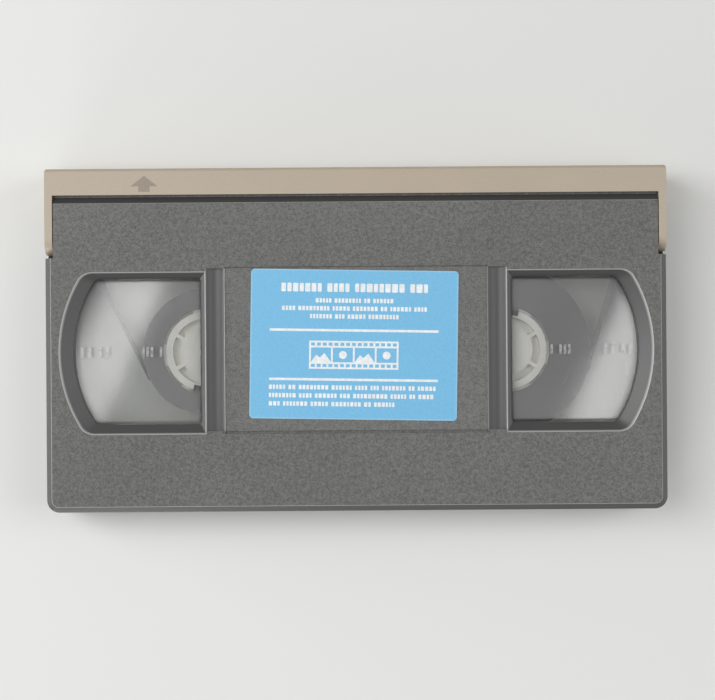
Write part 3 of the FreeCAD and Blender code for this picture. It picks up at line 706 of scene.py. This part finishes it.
def white_ink(look):
    """Opaque offset ink on coated paper: flat white with slight unevenness."""
    mat, tree = blank("offset_ink_white")
    at = add(tree, "ShaderNodeTexCoord").outputs["Object"]
    patch = add(
        tree, "ShaderNodeTexNoise", {"Scale": 900.0, "Detail": 3.0}, {"Vector": at}
    )
    level = add(
        tree,
        "ShaderNodeMapRange",
        {"From Min": 0.35, "From Max": 0.65, "To Min": 0.86, "To Max": 1.0},
        {"Value": patch.outputs["Fac"]},
    )
    base = add(
        tree,
        "ShaderNodeVectorMath",
        {0: tuple(look.ink)[:3]},
        {"Scale": level.outputs[0]},
        operation="SCALE",
    )
    shader = add(
        tree, "ShaderNodeBsdfPrincipled", {"Roughness": 0.5}, {"Base Color": base.outputs[0]}
    )
    show(tree, shader)
    return mat


def metal(name, shade, roughness, line_mm):
    """Bright steel: mirror-like, with fine drawing or plating marks that break up the gloss."""
    mat, tree = blank(name)
    at = add(tree, "ShaderNodeTexCoord").outputs["Object"]
    marks = add(
        tree,
        "ShaderNodeTexNoise",
        {"Scale": 1.0 / (line_mm * MM), "Detail": 3.0},
        {"Vector": at},
    )
    rough = add(
        tree,
        "ShaderNodeMapRange",
        {
            "From Min": 0.3,
            "From Max": 0.7,
            "To Min": roughness - 0.06,
            "To Max": roughness + 0.08,
        },
        {"Value": marks.outputs["Fac"]},
    )
    shader = add(
        tree,
        "ShaderNodeBsdfPrincipled",
        {"Metallic": 1.0, "Base Color": tuple(shade)},
        {"Roughness": rough.outputs[0]},
    )
    show(tree, shader)
    return mat


# Pieces


class CASSETTE_OT_case(bpy.types.Operator):
    """Gives both case halves their moulded finish"""

    bl_idname = "cassette.case"
    bl_label = "Case halves"

    def execute(self, context):
        scene = context.scene
        finish = eroded_polystyrene(scene.cassette_colours, scene.cassette_sizes)
        finish_node("upper_shell", finish, CASE_TOP - 0.005 * MM)
        finish_node("lower_shell", finish)
        return {"FINISHED"}


class CASSETTE_OT_windows(bpy.types.Operator):
    """Makes the windows clear and adds their tick marks"""

    bl_idname = "cassette.windows"
    bl_label = "Windows"

    def execute(self, context):
        sizes = context.scene.cassette_sizes
        clear = clear_polystyrene("polystyrene_clear", "#FBFBFB", 0.02)
        frosted = clear_polystyrene("polystyrene_clear_frosted", "#E4E6E6", 0.9)
        for name in ("left_window", "right_window"):
            finish_node(name, clear)
        # distances of the ticks from the middle of the case, in millimetres
        places = (59.3, 62.05, 63.35, 64.65, 75.6, 77.9, 81.0, 83.3)
        for side, sign in (("left", -1), ("right", 1)):
            outlines = []
            for x in places:
                outlines.append(
                    rounded(
                        sign * x * MM,
                        HUB_AT["takeup"].y,
                        sizes.tick_width,
                        sizes.tick_height,
                        0.2 * MM,
                    )
                )
            slabs(
                side + "_window_ticks",
                outlines,
                WINDOW_FLOOR - 0.06 * MM,
                WINDOW_FLOOR - 0.01 * MM,
                frosted,
                "case",
            )
        return {"FINISHED"}


def row_of_marks(marks, words, height, width, gap, left, y):
    """Small upright blocks in place of one row of print, and where the row ends."""
    x = left
    outlines = []
    for count in words:
        for _ in range(count):
            w = width * marks.uniform(0.72, 1.15)
            outlines.append(rounded(x + w / 2, y, w, height, 0.12 * width, 1))
            x += w + gap
        x += width * 0.8
    return outlines, x - gap - width * 0.8


def centred(outlines, left, right):
    """The outlines moved sideways so that the row is centred on the label."""
    shift = -(left + right) / 2
    return [[(x + shift, y) for x, y in outline] for outline in outlines]


class CASSETTE_OT_label(bpy.types.Operator):
    """Gives the face label its paper and its print: two rules, rows of marks and a film strip"""

    bl_idname = "cassette.label"
    bl_label = "Face label"

    def execute(self, context):
        scene = context.scene
        sizes = scene.cassette_sizes
        finish_node("face_label", coated_paper(scene.cassette_colours))
        ink = white_ink(scene.cassette_colours)
        z0 = LABEL_HIGH.z
        z1 = z0 + sizes.ink
        place = Matrix.Translation((LABEL_CENTRE.x, LABEL_CENTRE.y, 0)) @ Matrix.Rotation(
            LABEL_TURN, 4, "Z"
        )
        marks = random.Random(sizes.print_seed)
        rows = []
        title = row_of_marks(
            marks, (7, 4, 8, 3), sizes.title_height, 1.62 * MM, 0.42 * MM, 0, 17.2 * MM
        )
        rows += centred(title[0], 0, title[1])
        small = sizes.small_height
        for y, words in (
            (13.3, (5, 8, 2, 6)),
            (10.9, (4, 9, 5, 7, 2, 6, 4)),
            (8.5, (7, 3, 5, 9)),
        ):
            row, end = row_of_marks(marks, words, small, 0.82 * MM, 0.3 * MM, 0, y * MM)
            rows += centred(row, 0, end)
        left = -sizes.rule_width / 2
        for y, words in (
            (-13.0, (5, 2, 8, 6, 4, 3, 7, 2, 5)),
            (-15.5, (8, 4, 6, 3, 9, 5, 2, 4)),
            (-18.0, (3, 7, 5, 8, 2, 6)),
        ):
            row, _ = row_of_marks(marks, words, small, 0.86 * MM, 0.3 * MM, left, y * MM)
            rows += row
        slabs("label_rows", rows, z0, z1, ink, "case", place)
        rules = []
        for y in (4.3, -10.6):
            rules.append(
                rounded(0, y * MM, sizes.rule_width, sizes.rule_height, 0.1 * MM, 1)
            )
        slabs("label_rules", rules, z0, z1, ink, "case", place)
        slabs("label_film_strip", film_strip(), z0, z1, ink, "case", place)
        return {"FINISHED"}


def film_strip():
    """A generic strip of film between the rules: bars and posts round its holes and frames."""
    middle = -3.15 * MM
    width, bar, hole, frame_height = 27.0 * MM, 0.55 * MM, 0.95 * MM, 4.4 * MM
    outlines = []

    def block(x, y, w, h):
        outlines.append(rounded(x, y, w, h, 0.06 * MM, 1))

    for sign in (-1, 1):
        inner = middle + sign * (frame_height / 2 + bar / 2)
        outer = inner + sign * (bar + hole)
        block(0, inner, width, bar)
        block(0, outer, width, bar)
        for i in range(16):
            x = -width / 2 + bar / 2 + i * (width - bar) / 15
            block(x, (inner + outer) / 2, bar * 1.1, hole)
    for i in range(5):
        block(-width / 2 + bar / 2 + i * (width - bar) / 4, middle, bar, frame_height)
    # a hill and a disc in two of the frames
    step = (width - bar) / 4
    low = middle - frame_height / 2
    for i in (0, 2):
        x = -width / 2 + bar + i * step
        outlines.append(
            [
                (x, low),
                (x + step - bar, low),
                (x + 0.62 * step, low + 0.62 * frame_height),
                (x + 0.4 * step, low + 0.3 * frame_height),
                (x + 0.24 * step, low + 0.5 * frame_height),
            ]
        )
    for i in (1, 3):
        x = -width / 2 + bar / 2 + (i + 0.5) * step
        outlines.append(rounded(x, middle, 2.4 * MM, 2.4 * MM, 1.2 * MM, 6))
    return outlines


class CASSETTE_OT_lid(bpy.types.Operator):
    """Gives the tape lid and its spring their finish and adds the moulded arrow"""

    bl_idname = "cassette.lid"
    bl_label = "Tape lid"

    def execute(self, context):
        scene = context.scene
        look, sizes = scene.cassette_colours, scene.cassette_sizes
        # acrylonitrile butadiene styrene, moulded, satin all over
        finish_node("front_lid", moulded("abs_satin_tan", look.lid, 0.4, 1.54, 0.05, 0.5, 0.3))
        finish_node("lid_spring", metal("spring_steel_wire", look.steel, 0.28, 0.3))
        # the arrow is recessed in the lid; here it is a thin flat slab whose darker tan is
        # painted shade of that recess
        mark = moulded("abs_satin_tan_arrow_shade", look.mark, 0.5, 1.54)
        tip = Vector((-63.8, 49.7)) * MM
        half, stem = sizes.arrow_width / 2, sizes.arrow_width * 0.207
        back = tip.y - sizes.arrow_length
        shoulder = tip.y - sizes.arrow_length * 0.65
        arrow = [
            (tip.x, tip.y),
            (tip.x - half, shoulder),
            (tip.x - stem, shoulder),
            (tip.x - stem, back),
            (tip.x + stem, back),
            (tip.x + stem, shoulder),
            (tip.x + half, shoulder),
        ]
        slabs(
            "lid_arrow", [arrow], CASE_TOP, CASE_TOP + 0.03 * MM, mark, "lid"
        )
        return {"FINISHED"}


class CASSETTE_OT_fasteners(bpy.types.Operator):
    """Gives the latch, its spring and the screws their finish and adds the screw recesses"""

    bl_idname = "cassette.fasteners"
    bl_label = "Latch and screws"

    def execute(self, context):
        look = context.scene.cassette_colours
        # polyoxymethylene, moulded, slippery satin
        finish_node("lid_latch", moulded("pom_satin_black", look.latch, 0.36, 1.48))
        finish_node("latch_spring", metal("spring_steel_flat", look.steel, 0.25, 0.3))
        zinc = metal("steel_zinc_plated", look.steel, 0.34, 0.5)
        finish_node("case_screws", zinc)
        dark = metal("steel_in_shadow", linear("#2C2D2E"), 0.5, 0.4)
        low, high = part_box("case_screws")
        head = 2.6 * MM
        x_front, y_front, y_rear = high.x - head, high.y - head, low.y + head
        x_rear, y_middle = 84.5 * MM, 22.0 * MM
        centres = [
            (x_rear, y_rear),
            (-x_rear, y_rear),
            (x_front, y_front),
            (-x_front, y_front),
            (0.0, y_middle),
        ]
        outlines = []
        for x, y in centres:
            outlines.append(cross(x, y, 1.5 * MM, 0.28 * MM))
        slabs(
            "screw_recesses",
            outlines,
            low.z - 0.02 * MM,
            low.z + 0.01 * MM,
            dark,
            "case",
        )
        return {"FINISHED"}


def cross(x, y, reach, half):
    """Corner points of a cross with pointed arms, as a cross-head recess looks from above."""
    points = []
    for i in range(4):
        turn = math.radians(90 * i)
        c, s = math.cos(turn), math.sin(turn)
        for u, v in ((half, -half), (reach, -half * 0.7), (reach, half * 0.7)):
            points.append((x + u * c - v * s, y + u * s + v * c))
    return points


class CASSETTE_OT_reels(bpy.types.Operator):
    """Gives the reels, their clear flanges, the tape packs and the clamps their finish"""

    bl_idname = "cassette.reels"
    bl_label = "Reels and tape packs"

    def execute(self, context):
        scene = context.scene
        look, sizes = scene.cassette_colours, scene.cassette_sizes
        # polyoxymethylene hub and flange, moulded white, satin
        white = moulded("pom_white", look.reel, 0.38, 1.48, 0.03, 0.8, 0.1)
        clear = clear_polystyrene("polystyrene_clear_flange", "#F8F9F8", 0.035)
        dark = moulded("abs_dark_grey", look.leader, 0.45, 1.54)
        for side in ("takeup", "supply"):
            finish_node(side + "_reel", white)
            finish_node(side + "_top_flange", clear)
            tape = wound_tape(
                "wound_tape_" + side, look.tape, HUB_AT[side], sizes.winding_step
            )
            finish_node(side + "_tape_pack", tape)
            finish_node(side + "_leader_clamp", dark)
        return {"FINISHED"}


class CASSETTE_OT_guides(bpy.types.Operator):
    """Gives the tape span, its pins, roller and leaf their finish"""

    bl_idname = "cassette.guides"
    bl_label = "Tape run"

    def execute(self, context):
        look = context.scene.cassette_colours
        # polyester film with a magnetic coat, calendered: smooth, dark brown, glossy
        film = moulded("polyester_tape_coated", linear("#2B221C"), 0.2, 1.6, 0.08, 1.5, 0.03)
        finish_node("tape_span", film)
        pins = metal("stainless_ground", look.steel, 0.14, 0.2)
        for name in ("left_guide_pin", "right_guide_pin", "roller_pin"):
            finish_node(name, pins)
        finish_node("guide_roller", moulded("pom_white_roller", look.reel, 0.3, 1.48))
        leaf = moulded("polyester_leaf_amber", linear("#8A6A3C"), 0.22, 1.6, 0.05, 1.2, 0.03)
        finish_node("tension_leaf", leaf)
        return {"FINISHED"}


class CASSETTE_OT_brakes(bpy.types.Operator):
    """Gives the brake levers, slider, springs and the reel leaf spring their finish"""

    bl_idname = "cassette.brakes"
    bl_label = "Brakes and reel spring"

    def execute(self, context):
        look = context.scene.cassette_colours
        lever = moulded("pom_natural", look.lever, 0.4, 1.48)
        for name in ("left_brake_lever", "right_brake_lever", "brake_release"):
            finish_node(name, lever)
        strip = metal("spring_steel_strip", look.steel, 0.3, 0.4)
        for name in ("left_brake_spring", "right_brake_spring", "reel_leaf_spring"):
            finish_node(name, strip)
        return {"FINISHED"}


# Stage


def softbox(name, at, size, power, aim=(0.0, 0.0, 0.0)):
    """A rectangular lamp at a place, facing aim. The camera doesn't see it."""
    lamp = bpy.data.lights.new(name, "AREA")
    lamp.shape = "RECTANGLE"
    lamp.size, lamp.size_y = size
    lamp.energy = power
    made = bpy.data.objects.new(name, lamp)
    made.location = at
    made.rotation_euler = (Vector(aim) - Vector(at)).to_track_quat("-Z", "Y").to_euler()
    made.visible_camera = False
    bpy.context.scene.collection.objects.link(made)
    return made


class CASSETTE_OT_stage(bpy.types.Operator):
    """Adds the floor, the lights and the camera"""

    bl_idname = "cassette.stage"
    bl_label = "Stage"

    def execute(self, context):
        scene = context.scene
        scene.view_settings.view_transform = "Standard"
        floor_mat, tree = blank("plain_floor")
        shader = add(
            tree,
            "ShaderNodeBsdfPrincipled",
            {"Base Color": tuple(scene.cassette_colours.floor), "Roughness": 0.8},
        )
        show(tree, shader)
        bm = bmesh.new()
        bmesh.ops.create_grid(bm, x_segments=1, y_segments=1, size=2.0)
        mesh = bpy.data.meshes.new("floor")
        bm.to_mesh(mesh)
        bm.free()
        mesh.materials.append(floor_mat)
        floor = bpy.data.objects.new("floor", mesh)
        floor.location.z = -0.02 * MM
        scene.collection.objects.link(floor)
        world = bpy.data.worlds.new("studio")
        scene.world = world
        world.use_nodes = True
        back = world.node_tree.nodes["Background"]
        back.inputs["Color"].default_value = linear("#DADDE0")
        back.inputs["Strength"].default_value = 0.30
        # soft light from above, with weaker low lights for the case's sides
        softbox("ceiling", (0.0, 0.05, 1.6), (1.1, 1.1), 1.7)
        softbox("overhead_left", (-0.56, 0.18, 0.90), (0.5, 0.8), 5.2)
        softbox("overhead_right", (0.62, 0.10, 0.85), (0.45, 0.7), 2.5)
        softbox("side_left", (-1.25, 0.0, 0.24), (1.4, 0.4), 9.0)
        softbox("side_rear", (-0.55, -1.20, 0.24), (0.9, 0.4), 7.0)
        softbox("side_right", (1.25, -0.1, 0.24), (1.2, 0.4), 4.0)
        # two narrow panels whose gloss crosses the windows aslant
        for x, y, turn in ((-0.215, 0.02, -24), (0.235, -0.02, -24)):
            panel = softbox("window_gloss", (x, y, 1.2), (0.045, 0.5), 0.15, (x, y, 0.0))
            panel.rotation_euler.z += math.radians(turn)
        # straight above, a little off the middle and turned, as the photo was taken
        camera = bpy.data.cameras.new("camera")
        camera.lens = 100.0
        camera.sensor_width = 36.0
        eye = bpy.data.objects.new("camera", camera)
        eye.location = (0.36 * MM, -3.35 * MM, 0.625)
        eye.rotation_euler = (0.0, 0.0, math.radians(-0.42))
        scene.collection.objects.link(eye)
        scene.camera = eye
        return {"FINISHED"}


class CASSETTE_PT_panel(bpy.types.Panel):
    """Sizes, colours and steps of the cassette"""

    bl_idname = "CASSETTE_PT_panel"
    bl_label = "Video cassette"
    bl_space_type = "VIEW_3D"
    bl_region_type = "UI"
    bl_category = "Cassette"

    def draw(self, context):
        layout = self.layout
        for group in (context.scene.cassette_sizes, context.scene.cassette_colours):
            box = layout.box()
            for name in group.__annotations__:
                box.prop(group, name)
        for step in STEPS:
            layout.operator(step.bl_idname)


STEPS = (
    CASSETTE_OT_case,
    CASSETTE_OT_windows,
    CASSETTE_OT_label,
    CASSETTE_OT_lid,
    CASSETTE_OT_fasteners,
    CASSETTE_OT_reels,
    CASSETTE_OT_guides,
    CASSETTE_OT_brakes,
    CASSETTE_OT_stage,
)
CLASSES = (CassetteSizes, CassetteColours, *STEPS, CASSETTE_PT_panel)


def register():
    for cls in CLASSES:
        bpy.utils.register_class(cls)
    bpy.types.Scene.cassette_sizes = PointerProperty(type=CassetteSizes)
    bpy.types.Scene.cassette_colours = PointerProperty(type=CassetteColours)


def unregister():
    del bpy.types.Scene.cassette_colours
    del bpy.types.Scene.cassette_sizes
    for cls in reversed(CLASSES):
        bpy.utils.unregister_class(cls)


def main():
    register()
    bpy.ops.cassette.case()
    bpy.ops.cassette.windows()
    bpy.ops.cassette.label()
    bpy.ops.cassette.lid()
    bpy.ops.cassette.fasteners()
    bpy.ops.cassette.reels()
    bpy.ops.cassette.guides()
    bpy.ops.cassette.brakes()
    bpy.ops.cassette.stage()


if __name__ == "__main__":
    main()
